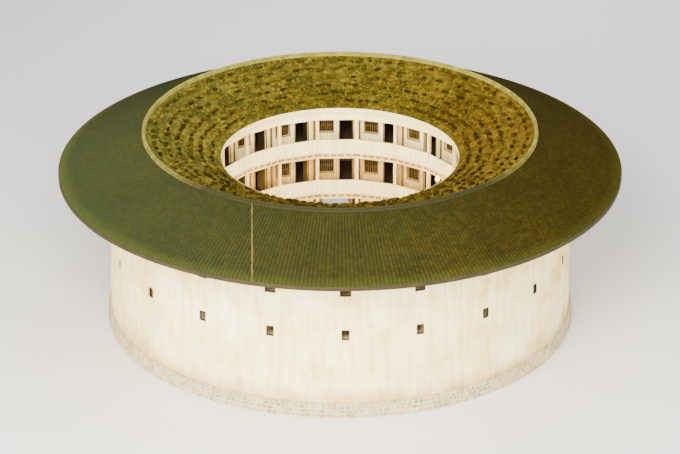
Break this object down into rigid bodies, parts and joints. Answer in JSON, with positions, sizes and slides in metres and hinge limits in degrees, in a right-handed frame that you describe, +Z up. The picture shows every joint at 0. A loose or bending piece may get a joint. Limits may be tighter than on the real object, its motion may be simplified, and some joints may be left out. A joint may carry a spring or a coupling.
{
  "type": "tulou roundhouse",
  "caption": "Round three-storey earth-walled house: a ring roof with two slopes over timber galleries and rooms round an open courtyard.",
  "frame": {"origin": "centre of the courtyard, at ground level", "axes": "+Z up; +Y towards the gate; -Y is the side that the picture shows; +X is its right"},
  "size_m": [36.5718, 36.5718, 13.2],
  "materials": {
    "rammed_earth": "matt rammed earth",
    "river_stone": "rough river stone",
    "dressed_granite": "dressed stone",
    "beaten_earth": "beaten earth",
    "fir_timber": "weathered fir",
    "fir_boards": "weathered boards",
    "grey_tile": "unglazed fired clay",
    "lime_mortar": "lime mortar",
    "lamp_glass": "opal glass"
  },
  "bodies": {
    "root": {"courtyard_curb": "dressed_granite", "earth_wall_front": "rammed_earth", "earth_wall_left_1": "rammed_earth", "earth_wall_left_2": "rammed_earth", "earth_wall_left_3": "rammed_earth", "earth_wall_over_gate": "rammed_earth", "earth_wall_right_1": "rammed_earth", "earth_wall_right_2": "rammed_earth", "earth_wall_right_3": "rammed_earth", "gallery_frieze": "fir_boards", "gallery_lamp": "lamp_glass", "gate_frame": "dressed_granite", "gate_leaf_left": "fir_timber", "gate_leaf_right": "fir_timber", "gate_passage_floor": "dressed_granite", "gate_step": "dressed_granite", "ground_floor": "beaten_earth", "ground_gallery_posts": "fir_timber", "ground_room_doors_back_left": "fir_timber", "ground_room_doors_back_right": "fir_timber", "ground_room_doors_front_left": "fir_timber", "ground_room_doors_front_right": "fir_timber", "ground_room_wall_back_left": "fir_boards", "ground_room_wall_back_right": "fir_boards", "ground_room_wall_front_left": "fir_boards", "ground_room_wall_front_right": "fir_boards", "inner_eave_fascia": "fir_timber", "outer_eave_fascia": "fir_timber", "ridge_cap": "lime_mortar", "ridge_purlin": "fir_timber", "roof_inner_slope": "grey_tile", "roof_outer_slope": "grey_tile", "second_floor": "fir_boards", "second_gallery_parapet": "fir_boards", "second_gallery_posts": "fir_timber", "second_room_doors_back_left": "fir_timber", "second_room_doors_back_right": "fir_timber", "second_room_doors_front_left": "fir_timber", "second_room_doors_front_right": "fir_timber", "second_room_wall": "fir_boards", "stone_plinth_front": "river_stone", "stone_plinth_left_1": "river_stone", "stone_plinth_left_2": "river_stone", "stone_plinth_left_3": "river_stone", "stone_plinth_right_1": "river_stone", "stone_plinth_right_2": "river_stone", "stone_plinth_right_3": "river_stone", "third_floor": "fir_boards", "third_gallery_parapet": "fir_boards", "third_gallery_posts": "fir_timber", "third_room_doors": "fir_timber", "third_room_wall": "fir_boards", "tie_beams_back_left": "fir_timber", "tie_beams_back_right": "fir_timber", "tie_beams_front_left": "fir_timber", "tie_beams_front_right": "fir_timber", "wall_plate": "fir_timber"}
  },
  "joints": []
}
